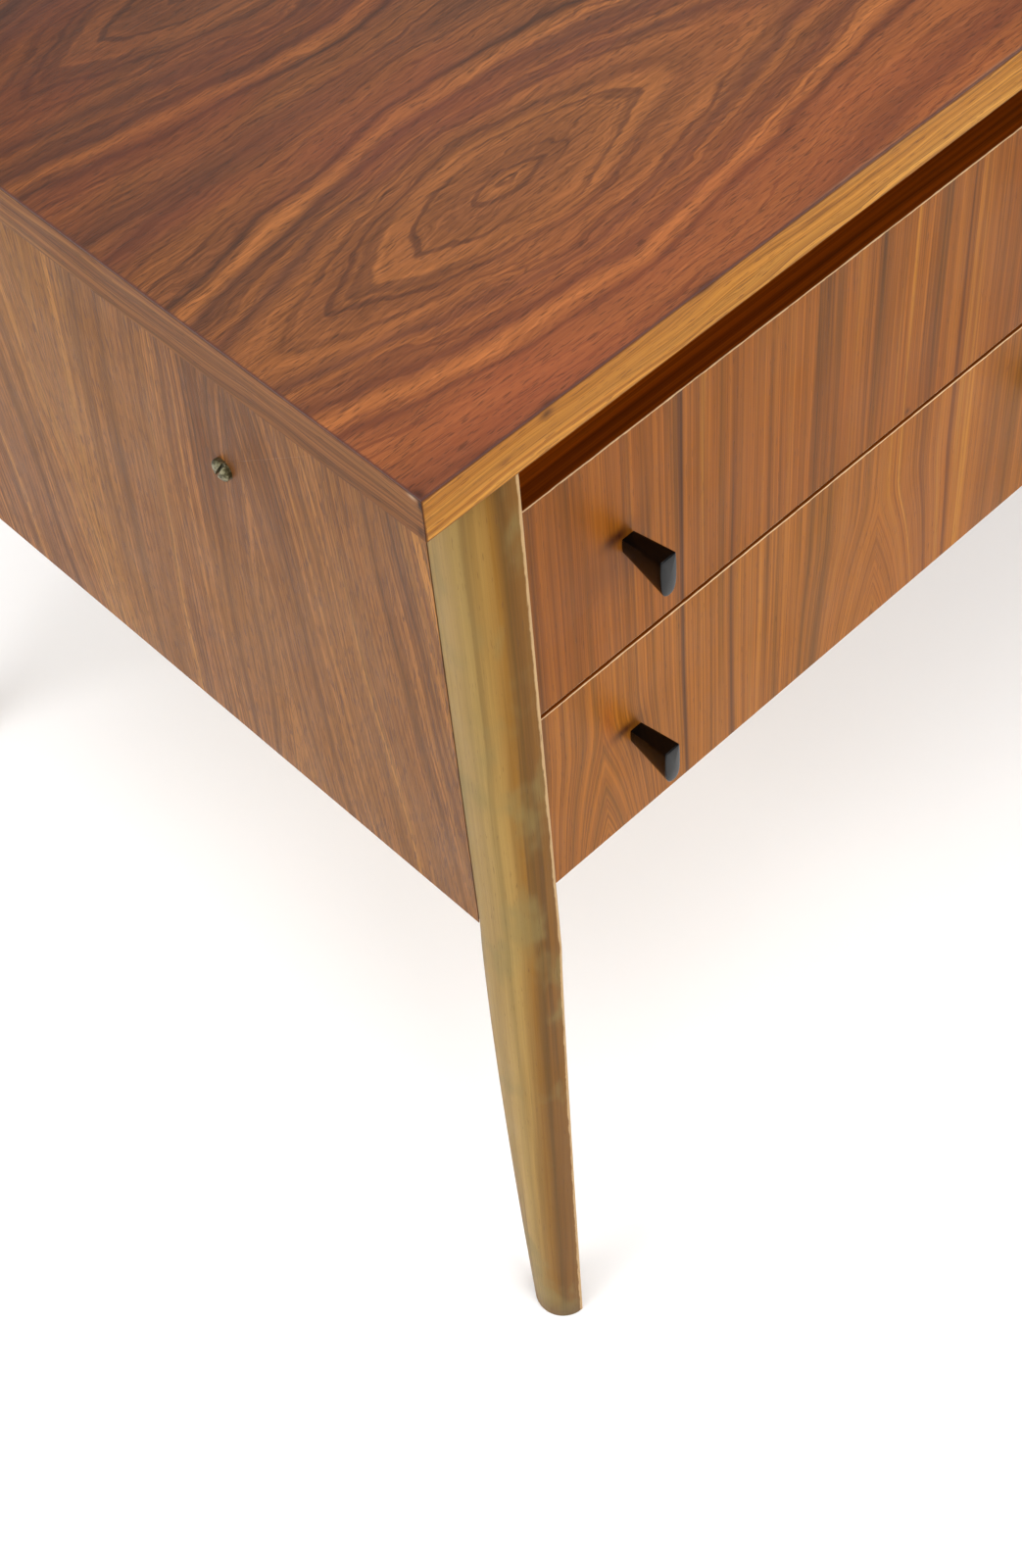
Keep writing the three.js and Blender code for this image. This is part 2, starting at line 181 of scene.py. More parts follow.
# Millimetres from the nearest edge of a box-shaped node, on its surface.
def edgeDistance(tree, node):
    low, high = (Vector(corner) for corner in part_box(node))
    centre, half = (low + high) / 2, (high - low) / 2
    place = addNode(tree, "TexCoord").outputs["Object"]
    offset = addNode(tree, "VectorMath", [place, centre], operation="SUBTRACT")
    size = addNode(tree, "VectorMath", [offset], operation="ABSOLUTE")
    inset = addNode(tree, "VectorMath", [half, size], operation="SUBTRACT")
    x, y, z = addNode(tree, "SeparateXYZ", [inset]).outputs
    smaller = addNode(tree, "Math", [x, y], operation="MINIMUM")
    larger = addNode(tree, "Math", [x, y], operation="MAXIMUM")
    capped = addNode(tree, "Math", [larger, z], operation="MINIMUM")
    second = addNode(tree, "Math", [smaller, capped], operation="MAXIMUM")
    return addNode(tree, "Math", [second, 1000.0], operation="MULTIPLY").outputs[0]


# Open pores of walnut and rosewood: dark dashes along the grain, drawn about twice as wide as real
# ones so that they still show.
def poreMask(tree, places, length, width, amount, seed):
    dashes = grainNoise(tree, places, (length, width, width), 1.0, 0.4, seed)
    return addNode(tree, "MapRange", [dashes, 0.72 - amount, 0.8 - amount],
                   interpolation_type="SMOOTHSTEP")


# Moves a place to and fro along one axis as a noise says: amount is the whole width of the sway.
def sway(tree, noise, amount, place):
    centred = addNode(tree, "Math", [noise, -0.5], operation="ADD")
    return addNode(tree, "Math", [centred, amount, place], operation="MULTIPLY_ADD")


# Broad stripes along the grain, and their mean with narrow ones, which makes the figure.
def addStripes(tree, along, across, lengths, look):
    wide = grainNoise(tree, (along, across, 0.0), (lengths[0], look["stripe"], 1.0), 2.0, 0.5,
                      look["seed"] + 1.3)
    narrow = grainNoise(tree, (along, across, 0.0), (lengths[1], look["line"], 1.0), 3.0, 0.6,
                        look["seed"] + 2.9)
    half = addNode(tree, "Math", [wide, 0.5], operation="MULTIPLY")
    return wide, addNode(tree, "Math", [narrow, 0.5, half], operation="MULTIPLY_ADD")


# Lightens and darkens a colour between two places of a mask.
def addTone(tree, base, mask, start, end, startTone, endTone):
    tone = addNode(tree, "MapRange", [mask, start, end, startTone, endTone])
    return addNode(tree, "Mix", {"Factor": 1.0, "A": base, "B": tone}, data_type="RGBA",
                   blend_type="MULTIPLY")


# Lays a tone over a colour, from nothing where the mask is at start to its full share at end.
def addStain(tree, base, mask, start, end, share, tone, blend="MIX"):
    shown = addNode(tree, "MapRange", [mask, start, end, 0.0, share],
                    interpolation_type="SMOOTHSTEP")
    return addNode(tree, "Mix", {"Factor": shown, "A": base, "B": tone}, data_type="RGBA",
                   blend_type=blend)


# Links a colour, a roughness and a fine relief into a shader.
def dressShader(tree, shader, colour, rough, relief, strength, depth):
    bump = addNode(tree, "Bump", {"Strength": strength, "Distance": depth * mm, "Height": relief})
    tree.links.new(colour.outputs[2], shader.inputs["Base Color"])
    tree.links.new(rough.outputs[0], shader.inputs["Roughness"])
    tree.links.new(bump.outputs[0], shader.inputs["Normal"])


# Spots, rubs and chips: place across and along, width and length, strength and colour of each.
def addMarks(tree, base, across, along, grain, marks):
    colour = base
    for markAcross, markAlong, wideness, length, strength, tone in marks:
        shape = addNode(tree, "Math", [hump(tree, across, markAcross, wideness),
                                       hump(tree, along, markAlong, length)],
                        operation="MULTIPLY")
        ragged = addNode(tree, "Math", [shape, addNode(tree, "Math", [grain, 1.2, 0.4],
                                                       operation="MULTIPLY_ADD")],
                         operation="MULTIPLY")
        share = addNode(tree, "Math", [ragged, strength], operation="MULTIPLY", use_clamp=True)
        colour = addNode(tree, "Mix", {"Factor": share, "A": colour, "B": tone}, data_type="RGBA")
    return colour


# Fine fibre, pores, worn edges and a satin lacquer, over a base colour that carries the figure.
def finishWood(tree, shader, base, places, look):
    fibre = grainNoise(tree, places, (look["fibreLength"], look["fibreWidth"], look["fibreWidth"]),
                       4.0, 0.65, look["seed"] + 3.1)
    contrast = look["fibreContrast"]
    colour = addTone(tree, base, fibre, 0.25, 0.75, 1 - contrast, 1 + contrast)
    pores = poreMask(tree, places, look["poreLength"], look["poreWidth"], look["pores"],
                     look["seed"] + 7.7)
    poreShare = addNode(tree, "Math", [pores, look["poreDepth"]], operation="MULTIPLY")
    colour = addNode(tree, "Mix", {"Factor": poreShare, "A": colour, "B": look["poreColour"]},
                     data_type="RGBA")
    if look.get("edges"):
        edge = edgeDistance(tree, look["edges"])
        wobble = grainNoise(tree, places, (9.0, 5.0, 5.0), 3.0, 0.6, look["seed"] + 11.0)
        ragged = addNode(tree, "Math", [wobble, -look["wearWidth"] * 1.2, edge],
                         operation="MULTIPLY_ADD")
        colour = addStain(tree, colour, ragged, look["wearWidth"] * 0.5, -look["wearWidth"] * 0.3,
                          look["wearShare"], look["wearColour"])
    sheen = grainNoise(tree, places, (60.0, 35.0, 35.0), 3.0, 0.55, look["seed"] + 17.0)
    gloss = addNode(tree, "MapRange", [sheen, 0.3, 0.7, look["roughness"] - 0.05,
                                       look["roughness"] + 0.06])
    rough = addNode(tree, "Math", [addNode(tree, "MapRange", [fibre, 0.3, 0.7, 0.02, -0.02]),
                                   gloss], operation="ADD")
    relief = addNode(tree, "Math", [pores, -0.8, addNode(tree, "Math", [fibre, 0.35],
                                                         operation="MULTIPLY")],
                     operation="MULTIPLY_ADD")
    dressShader(tree, shader, colour, rough, relief, look["bump"], 0.12)
    shader.inputs["IOR"].default_value = 1.5
    shader.inputs["Specular IOR Level"].default_value = look["specular"]


fineGrain = {
    "fibreLength": 70.0, "fibreWidth": 0.8, "fibreContrast": 0.12,
    "poreLength": 9.0, "poreWidth": 0.7, "pores": 0.1, "poreDepth": 0.45,
    "poreColour": "#2e1c12", "roughness": 0.46, "specular": 0.1, "bump": 0.35, "seed": 0.0,
    "wearWidth": 1.2, "wearShare": 0.75, "wearColour": "#a27a54",
}


# Sliced rosewood-toned walnut, book-matched, under satin lacquer: long dark and orange streaks
# that open into closed ovals where the saw ran along a heart.
topLook = {
    "joint": 190.0,          # first leaf joint, from the front edge
    "leaf": 205.0,           # width of one leaf
    "heartLine": 95.0,       # hearts, from the joint
    "hearts": ((138.0, 0.0), (560.0, 14.0), (905.0, 0.0), (1230.0, 22.0)),
    "openness": 62.0,        # how far the rings lie from the heart line between the ovals
    "length": 195.0,         # how slowly they get there
    "pointing": 1.45,        # 1 makes the ovals rhombuses, 2 makes them ellipses
    "sway": 26.0, "ripple": 11.0, "seed": 2.3,
    "reach": 130.0,          # the rings end here
    "tones": {"pale": "#784824", "brown": "#6c4020", "umber": "#60381e", "seam": "#482a1a",
              "black": "#382014", "orange": "#845028"},
    # Rings in millimetres out from the heart. The fine lines between them come from noise.
    "rings": ((0, "pale"), (8, "umber"), (20, "brown"), (24, "pale"), (28, "umber"),
              (38, "brown"), (45, "seam"), (48, "brown"), (58, "seam"), (62, "pale"),
              (64, "orange"), (66, "pale"), (68, "brown"), (71, "black"), (74, "umber"), (86, "brown"),
              (104, "seam"), (110, "brown")),
    "marks": ((2.5, 1.0, 3.0, 2.5, 0.9, "#24100b"), (0.6, 64.0, 1.2, 5.0, 0.7, "#2c140c"),
              (0.5, 31.0, 1.0, 6.0, 0.5, "#2c140c"), (0.6, 146.0, 1.2, 7.0, 0.7, "#2c140c"),
              (0.4, 232.0, 0.7, 30.0, 0.5, "#8d6f5a"), (0.4, 310.0, 0.7, 26.0, 0.6, "#8d6f5a")),
    "lineColour": "#402416", "rosyColour": "#6c3422", "frontColour": "#74381e",
    "backShadeTint": "#f4e2cc",   # painted shade: browner and darker towards the back
}


def makeTopVeneer(name, look, finish):
    material, tree, shader = makeMaterial(name)
    x, y, z = woodPlaces(tree)
    slow = grainNoise(tree, (x, y, z), (210.0, 80.0, 80.0), 2.0, 0.5, look["seed"])
    quick = grainNoise(tree, (x, y, z), (40.0, 15.0, 15.0), 3.0, 0.55, look["seed"] + 3.6)
    fromJoint = addNode(tree, "Math", [y, -look["joint"]], operation="ADD")
    leaf = addNode(tree, "Math", [fromJoint, look["leaf"]], operation="PINGPONG")
    swayed = sway(tree, quick, look["ripple"], sway(tree, slow, look["sway"], leaf))
    across = addNode(tree, "Math", [swayed, -look["heartLine"]], operation="ADD")
    nearest = 10000.0
    for centre, lateness in look["hearts"]:
        off = addNode(tree, "Math", [x, -centre], operation="ADD")
        away = addNode(tree, "Math", [off], operation="ABSOLUTE")
        late = addNode(tree, "Math", [away, lateness], operation="ADD")
        nearest = addNode(tree, "Math", [nearest, late], operation="SMOOTH_MIN")
        nearest.inputs[2].default_value = 12.0
    steep = addNode(tree, "Math", [nearest, 1 / look["length"]], operation="MULTIPLY")
    depth = addNode(tree, "Math", [addNode(tree, "Math", [steep], operation="TANH"),
                                   look["openness"]], operation="MULTIPLY")
    # The two distances add up between a rhombus and an ellipse, which points the ends of the ovals.
    power = look["pointing"]
    size = addNode(tree, "Math", [across], operation="ABSOLUTE")
    raised = [addNode(tree, "Math", [part, power], operation="POWER") for part in (size, depth)]
    total = addNode(tree, "Math", raised, operation="ADD")
    ring = addNode(tree, "Math", [total, 1 / power], operation="POWER").outputs[0]
    crinkle = grainNoise(tree, (x, y, z), (26.0, 5.0, 5.0), 2.0, 0.5, look["seed"] + 8.0)
    rough = sway(tree, crinkle, 2.0, ring)
    share = addNode(tree, "Math", [rough, 1 / look["reach"]], operation="MULTIPLY")
    stops = [(place / look["reach"], look["tones"][tone]) for place, tone in look["rings"]]
    lines = grainNoise(tree, (x, rough, 0.0), (420.0, 3.2, 1.0), 3.0, 0.65, look["seed"] + 9.1)
    thin = grainNoise(tree, (x, rough, 0.0), (170.0, 2.3, 1.0), 1.0, 0.5, look["seed"] + 4.7)
    hair = grainNoise(tree, (x, swayed, 0.0), (38.0, 0.75, 1.0), 3.0, 0.7, look["seed"] + 6.7)
    patch = grainNoise(tree, (x, y, z), (210.0, 70.0, 70.0), 3.0, 0.5, look["seed"] + 12.0)
    colour = addNode(tree, "ValToRGB", [share], stops)
    colour = addTone(tree, colour, lines, 0.3, 0.7, 0.8, 1.18)
    colour = addStain(tree, colour, thin, 0.55, 0.68, 0.65, look["lineColour"])
    colour = addTone(tree, colour, hair, 0.3, 0.7, 0.6, 1.32)
    colour = addStain(tree, colour, patch, 0.5, 0.7, 0.4, look["rosyColour"])
    colour = addStain(tree, colour, y, 95.0, 25.0, 0.3, look["frontColour"])
    # Painted light and shade: lighter near the front edge, darker and browner towards the back.
    colour = addTone(tree, colour, y, 40.0, 330.0, 1.32, 0.64)
    colour = addStain(tree, colour, y, 120.0, 320.0, 1.0, look["backShadeTint"], "MULTIPLY")
    colour = addMarks(tree, colour, y, x, crinkle, look["marks"])
    finishWood(tree, shader, colour, (x, y, z), finish)
    return material


# Stripes of plain walnut veneer, sliced along the quarter and lacquered: upright lines that
# spread apart where the slice nears a heart.
def makeStripedVeneer(name, order, look, finish):
    material, tree, shader = makeMaterial(name)
    outputs = woodPlaces(tree)
    along, across, through = (outputs["XYZ".index(axis)] for axis in order)
    if look.get("edgeStrip"):
        # The upper and lower edges carry a strip whose grain runs along the board.
        normal = addNode(tree, "NewGeometry").outputs["True Normal"]
        size = addNode(tree, "VectorMath", [normal], operation="ABSOLUTE")
        flat = addNode(tree, "SeparateXYZ", [size]).outputs[2]
        strip = addNode(tree, "Math", [flat, 0.9], operation="GREATER_THAN").outputs[0]
        along, across = (addNode(tree, "Mix", [strip, *pair], data_type="FLOAT").outputs[0]
                         for pair in ((along, across), (across, through)))
    spread = addNode(tree, "Math", [through, look.get("turn", 0.83), across],
                     operation="MULTIPLY_ADD")
    if look.get("leaf"):
        fromJoint = addNode(tree, "Math", [spread, -look["joint"]], operation="ADD")
        leaf = addNode(tree, "Math", [fromJoint, look["leaf"]], operation="PINGPONG")
        spread = addNode(tree, "Math", [along, look["lean"], leaf], operation="MULTIPLY_ADD")
    for centre, width, apex, slope in look.get("hearts", ()):
        off = addNode(tree, "Math", [spread, -centre], operation="ADD")
        below = addNode(tree, "Math", [apex, along], operation="SUBTRACT")
        opened = addNode(tree, "Math", [below, 0.0, 20.0], operation="SMOOTH_MAX")
        shift = addNode(tree, "Math", [opened, hump(tree, spread, centre, width)],
                        operation="MULTIPLY")
        size = addNode(tree, "Math", [off], operation="ABSOLUTE")
        rest = addNode(tree, "Math", [shift, -slope, size], operation="MULTIPLY_ADD")
        outer = addNode(tree, "Math", [rest, 0.0], operation="MAXIMUM")
        inner = addNode(tree, "Math", [rest, 0.0], operation="MINIMUM")
        signed = addNode(tree, "Math", [outer, addNode(tree, "Math", [off], operation="SIGN")],
                         operation="MULTIPLY")
        both = addNode(tree, "Math", [signed, inner], operation="ADD")
        spread = addNode(tree, "Math", [both, centre], operation="ADD").outputs[0]
    bend = grainNoise(tree, (along, across, through), look["bendSize"], 2.0, 0.5, look["seed"])
    swayed = sway(tree, bend, look["bend"], spread)
    figure = addStripes(tree, along, swayed, (900.0, 500.0), look)[1]
    dark = grainNoise(tree, (along, swayed, 0.0), (900.0, look["line"] * 1.3, 1.0), 1.0, 0.5,
                      look["seed"] + 4.4)
    hair = grainNoise(tree, (along, swayed, 0.0), (260.0, look["hair"], 1.0), 2.0, 0.6,
                      look["seed"] + 5.2)
    patch = grainNoise(tree, (along, across, through), (230.0, 120.0, 120.0), 2.0, 0.5,
                       look["seed"] + 6.0)
    colour = addNode(tree, "ValToRGB", [figure], look["tones"])
    colour = addStain(tree, colour, dark, 0.6, 0.74, look["darkLines"], look["darkColour"])
    colour = addTone(tree, colour, hair, 0.3, 0.7, 1 - look["hairTone"], 1 + look["hairTone"])
    colour = addStain(tree, colour, patch, 0.42, 0.66, look["patchShare"], look["patchColour"])
    if look.get("edgeStrip"):
        colour = addNode(tree, "Mix", {"Factor": strip, "A": colour, "B": look["edgeStrip"]},
                         data_type="RGBA", blend_type="MULTIPLY")
    if look.get("tint"):
        colour = addNode(tree, "Mix", {"Factor": 1.0, "A": colour, "B": look["tint"]},
                         data_type="RGBA", blend_type="MULTIPLY")
    # Painted shade: the board darkens towards its top, under the overhang.
    if look.get("upperShade"):
        upperShadeTone, start, end = look["upperShade"]
        colour = addStain(tree, colour, along, start, end, 1.0, upperShadeTone, "MULTIPLY")
    colour = addMarks(tree, colour, across, along, hair, look.get("marks", ()))
    finishWood(tree, shader, colour, (along, across, through), finish)
    return material


frontLook = {
    # Lines part downwards below an apex: place across, width, height of the apex, slope.
    "hearts": ((106.0, 32.0, 478.0, 0.3), (297.0, 42.0, 480.0, 0.34)), "turn": 0.0,
    "bend": 8.0, "bendSize": (330.0, 60.0, 60.0), "stripe": 24.0, "line": 5.2, "seed": 1.0,
    "hair": 1.2, "hairTone": 0.32,
    "tones": ((0.36, "#603a0c"), (0.45, "#7c4a10"), (0.53, "#905414"), (0.6, "#985c1a"),
              (0.68, "#ae7424")),
    "darkLines": 0.7, "darkColour": "#502c10", "patchShare": 0.3, "patchColour": "#8c4c16",
    "edgeStrip": "#e8c080",     # tint of the strip glued to the upper and lower edges
    "marks": ((120.0, 603.0, 8.0, 4.5, 0.9, "#301008"), (112.0, 588.0, 12.0, 16.0, 0.3, "#44220c"),
              (120.0, 469.0, 8.0, 4.0, 0.85, "#301008"), (110.0, 484.0, 4.0, 13.0, 0.3, "#9c4810"),
              (218.0, 652.0, 11.0, 6.0, 0.5, "#8a5008"), (313.0, 532.0, 1.6, 2.0, 0.7, "#44240c")),
}
railLook = {
    "bend": 12.0, "bendSize": (160.0, 40.0, 40.0), "stripe": 26.0, "line": 6.0,
    "seed": 21.0, "hair": 1.5, "hairTone": 0.14,
    "tones": ((0.34, "#60300c"), (0.5, "#744210"), (0.66, "#865018")),
    "darkLines": 0.5, "darkColour": "#48240c", "patchShare": 0.5, "patchColour": "#60300a",
}
panelLook = {
    "joint": 161.7, "leaf": 147.0, "lean": 0.09, "turn": 0.0,
    "bend": 46.0, "bendSize": (380.0, 95.0, 95.0), "stripe": 34.0, "line": 4.6, "seed": 31.0,
    "hair": 1.2, "hairTone": 0.5,
    "tones": ((0.36, "#643c18"), (0.45, "#784a22"), (0.52, "#86562a"), (0.58, "#90602c"),
              (0.66, "#a46e36")),
    "darkLines": 0.8, "darkColour": "#5c3416", "patchShare": 0.35, "patchColour": "#825624",
    "upperShade": ("#f0ecd8", 540.0, 720.0),   # painted olive shade near the top, under the overhang, and where it fades in
}
lippingLook = {
    "bend": 12.0, "bendSize": (80.0, 18.0, 18.0), "stripe": 9.0, "line": 2.4,
    "seed": 41.0, "hair": 0.9, "hairTone": 0.42,
    "tones": ((0.34, "#824a12"), (0.47, "#9e6620"), (0.56, "#ae762c"), (0.68, "#c08a3c")),
    "darkLines": 0.55, "darkColour": "#6c3c10", "patchShare": 0.35, "patchColour": "#9c6018",
    "marks": ((741.0, 62.0, 2.0, 3.5, 0.8, "#35170a"), (744.0, 146.0, 1.6, 6.0, 0.9, "#2a1108"),
              (733.0, 40.0, 1.0, 4.0, 0.5, "#5a300f"), (738.0, 210.0, 1.0, 9.0, 0.5, "#5a300f"),
              (744.6, 30.0, 1.2, 26.0, 0.6, "#5a2412"), (744.6, 95.0, 1.0, 22.0, 0.6, "#5a2412"),
              (744.6, 200.0, 0.9, 30.0, 0.5, "#5a2412")),
}
endBandLook = {
    "bend": 16.0, "bendSize": (110.0, 24.0, 24.0), "stripe": 12.0, "line": 3.0,
    "seed": 51.0, "hair": 1.1, "hairTone": 0.4,
    "tones": ((0.34, "#54301a"), (0.5, "#764a24"), (0.66, "#8e6034")),
    "darkLines": 0.7, "darkColour": "#482612", "patchShare": 0.5, "patchColour": "#6c4220",
    "marks": ((743.4, 5.0, 1.3, 2.2, 1.0, "#a58a70"), (741.5, 1.0, 3.5, 1.2, 0.9, "#1f0f09"),
              (726.0, 2.5, 2.5, 2.0, 0.6, "#24120b")),
}
insideLook = {
    "bend": 14.0, "bendSize": (300.0, 50.0, 50.0), "stripe": 22.0, "line": 4.5,
    "seed": 61.0, "hair": 1.4, "hairTone": 0.1,
    "tones": ((0.34, "#947048"), (0.5, "#a8865a"), (0.66, "#b4966c")),
    "darkLines": 0.35, "darkColour": "#805e38", "patchShare": 0.3, "patchColour": "#a07e50",
}
plywoodLook = {
    "bend": 30.0, "bendSize": (260.0, 70.0, 70.0), "stripe": 34.0, "line": 8.0,
    "seed": 71.0, "hair": 1.4, "hairTone": 0.1,
    "tones": ((0.34, "#a07c50"), (0.5, "#ae8e62"), (0.66, "#ba9c74")),
    "darkLines": 0.25, "darkColour": "#8c6a44", "patchShare": 0.3, "patchColour": "#a88454",
}
coreLook = {
    "bend": 22.0, "bendSize": (380.0, 80.0, 80.0), "stripe": 40.0, "line": 7.0,
    "seed": 81.0, "hair": 1.4, "hairTone": 0.1,
    "tones": ((0.34, "#745030"), (0.5, "#866038"), (0.66, "#946e46")),
    "darkLines": 0.35, "darkColour": "#604028", "patchShare": 0.3, "patchColour": "#7c5832",
}


def finishFor(**changes):
    return {**fineGrain, **changes}


def paint(node, material):
    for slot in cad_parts[node].material_slots:
        slot.material = material


# Eases the arrises of a board, which catches light along them as hand sanding does.
def soften(node, width):
    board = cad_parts[node]
    weld = board.modifiers.new("joinCorners", "WELD")
    weld.merge_threshold = 0.01 * mm
    bevel = board.modifiers.new("easedArris", "BEVEL")
    bevel.width = width * mm
    bevel.segments = 2
    bevel.limit_method = "ANGLE"
    bevel.angle_limit = math.radians(40)


def dressBoards():
    # Rosewood veneer, lacquered: a low sheen deepens the streaks, and the rubbed edges go dull.
    top = makeTopVeneer("rosewoodVeneerLacquered", topLook,
                        finishFor(seed=100.0, edges="top_veneer", wearWidth=1.0, wearShare=0.8,
                                  fibreContrast=0.16, fibreLength=30.0, fibreWidth=0.5, pores=0.14,
                                  poreLength=6.0, poreWidth=0.5, poreDepth=0.5,
                                  wearColour="#4a2a22", roughness=0.4))
    paint("top_veneer", top)
    # Beech lipping, oiled: golden with short brown flecks, and a dark line along the glue.
    for node, order, seed in (("front_lipping", "XZY", 110.0), ("back_lipping", "XZY", 120.0)):
        paint(node, makeStripedVeneer("beechLippingOiled." + node, order, lippingLook,
                                      finishFor(seed=seed, pores=0.1, poreColour="#5c3312",
                                                poreDepth=0.5, poreLength=7.0, roughness=0.45,
                                                edges=node, wearWidth=0.9, wearShare=0.7,
                                                wearColour="#5c2f14")))
    # Walnut end band, planed: greyer and flatter than the top, with open pores.
    for node, seed in (("left_lipping", 130.0), ("right_lipping", 140.0)):
        paint(node, makeStripedVeneer("walnutBandPlaned." + node, "YZX", endBandLook,
                                      finishFor(seed=seed, roughness=0.5, edges=node,
                                                wearWidth=0.8, wearShare=0.6,
                                                wearColour="#3d2218")))
    # Balancing veneer under the top, sanded: plain and matt.
    paint("top_core", makeStripedVeneer("balancingVeneerSanded", "XYZ", coreLook,
                                        finishFor(seed=150.0, roughness=0.6)))
    # Walnut veneer, thinly lacquered: open pores read as fine dashes along the grain.
    for node, seed in (("left_side_panel", 160.0), ("right_side_panel", 170.0),
                       ("partition", 180.0)):
        paint(node, makeStripedVeneer("walnutVeneerLacquered." + node, "ZYX", panelLook,
                                      finishFor(seed=seed, pores=0.15, poreDepth=0.75,
                                                fibreLength=14.0, fibreContrast=0.24,
                                                poreColour="#5b3a26", roughness=0.45)))
    paint("back_panel", makeStripedVeneer("walnutVeneerLacquered.back_panel", "ZXY", panelLook,
                                          finishFor(seed=190.0, pores=0.14, poreColour="#5b3a26",
                                                    roughness=0.45)))
    # Walnut fronts, lacquered: close upright stripes and pale lines along the arrises.
    for node, tint in (("upper_drawer_front", "#f0e8d4"), ("lower_drawer_front", "#ffffff")):
        look = {**frontLook, "tint": tint}
        paint(node, makeStripedVeneer("walnutFrontLacquered." + node, "ZXY", look,
                                      finishFor(seed=200.0, edges=node, pores=0.06, poreDepth=0.3,
                                                fibreWidth=0.6, wearWidth=0.6,
                                                wearShare=0.9, wearColour="#e0bf94",
                                                roughness=0.42)))
    # Walnut rails, oiled: dark and quiet in the shade of the top.
    for node in ("pedestal_front_rail", "kneehole_front_rail"):
        paint(node, makeStripedVeneer("walnutRailOiled." + node, "XZY", railLook,
                                      finishFor(seed=210.0, roughness=0.5)))
    # Beech left bare from the plane: pale, matt and nearly without figure.
    beech = makeStripedVeneer("beechPlaned", "YZX", insideLook, finishFor(seed=220.0, pores=0.02,
                              poreColour="#9a7448", roughness=0.62))
    crossBeech = makeStripedVeneer("beechPlanedAcross", "XZY", insideLook,
                                   finishFor(seed=230.0, pores=0.02, poreColour="#9a7448",
                                             roughness=0.62))
    # Birch plywood, sanded: a broad, faint figure.
    plywood = makeStripedVeneer("birchPlywoodSanded", "XYZ", plywoodLook,
                                finishFor(seed=240.0, pores=0.02, poreColour="#a98355",
                                          roughness=0.65))
    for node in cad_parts:
        if node.endswith(("_side", "_runner", "_cleat")):
            paint(node, beech)
        elif node.endswith("_drawer_back"):
            paint(node, crossBeech)
        elif node.endswith("_bottom"):
            paint(node, plywood)
    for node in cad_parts:
        if node.endswith("_front"):
            soften(node, 0.5)
        elif node.endswith(("_lipping", "_panel", "partition", "_rail")):
            soften(node, 0.35)
        elif node.endswith(("_side", "_runner", "_cleat", "_drawer_back")):
            soften(node, 0.9)
    print("boards: veneers, lippings and inside woods")


def makeObject(name, mesh, material, node, body):
    piece = bpy.data.objects.new(name, mesh)
    scene.collection.objects.link(piece)
    mesh.materials.append(material)
    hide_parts(node)
    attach(piece, body)
    return piece


# Closes a build into a mesh that is smooth but for edges sharper than the angle.
def closeMesh(build, name, sharpAngle):
    bmesh.ops.recalc_face_normals(build, faces=build.faces)
    for face in build.faces:
        face.smooth = True
    for edge in build.edges:
        if len(edge.link_faces) == 2 and edge.calc_face_angle(0) > math.radians(sharpAngle):
            edge.smooth = False
    mesh = bpy.data.meshes.new(name)
    build.to_mesh(mesh)
    build.free()
    return mesh


# Joins rings of equal length into a skin, closed with a fan at both ends.
def skinRings(name, rings, sharpAngle, attributes=()):
    build = bmesh.new()
    layers = [build.verts.layers.float.new(label) for label, _ in attributes]
    rows = [[build.verts.new(point) for point in ring] for ring in rings]
    for layer, (_, values) in zip(layers, attributes):
        for row, rowValues in zip(rows, values):
            for vertex, value in zip(row, rowValues):
                vertex[layer] = value
    count = len(rings[0])
    for lower, upper in zip(rows, rows[1:]):
        for i in range(count):
            j = (i + 1) % count
            build.faces.new((lower[i], lower[j], upper[j], upper[i]))
    for row, turned in ((rows[0], True), (rows[-1], False)):
        middle = build.verts.new(sum((vertex.co for vertex in row), Vector()) / count)
        for layer in layers:
            middle[layer] = 20.0             # well away from any arris
        for i in range(count):
            j = (i + 1) % count
            build.faces.new((middle, row[j], row[i]) if turned else (middle, row[i], row[j]))
    return closeMesh(build, name, sharpAngle)


legShape = {
    "taper": 0.28,          # share of the radius lost at the floor
    "lean": 9.7,            # how far the flat face leans outwards at the floor
    "arris": 1.0,           # rounding of the two arrises
    "footRounding": 1.6,
}
legLook = {
    "bend": 10.0, "stripe": 11.0, "line": 3.2, "seed": 91.0,
    # Tones from the arrises across the round side: the paler, greener ones are a painted sheen where
    # the round side faces the left lamp, over the wood's own golden colour.
    "tones": ((0.0, "#6e4814"), (0.15, "#6e4814"), (0.24, "#5a3c10"), (0.4, "#785218"),
              (0.6, "#90743e"), (1.0, "#96784a")),
    "toneReach": 46.0,      # millimetres from the arris at which the last tone is reached
    "darkLines": 0.55, "darkColour": "#543814", "patchColour": "#7c6a3c",
    "grubbyColour": "#4c331e",  # by the floor
    "arrisHighlightColour": "#bc9a6c",  # painted highlight along the arrises
}
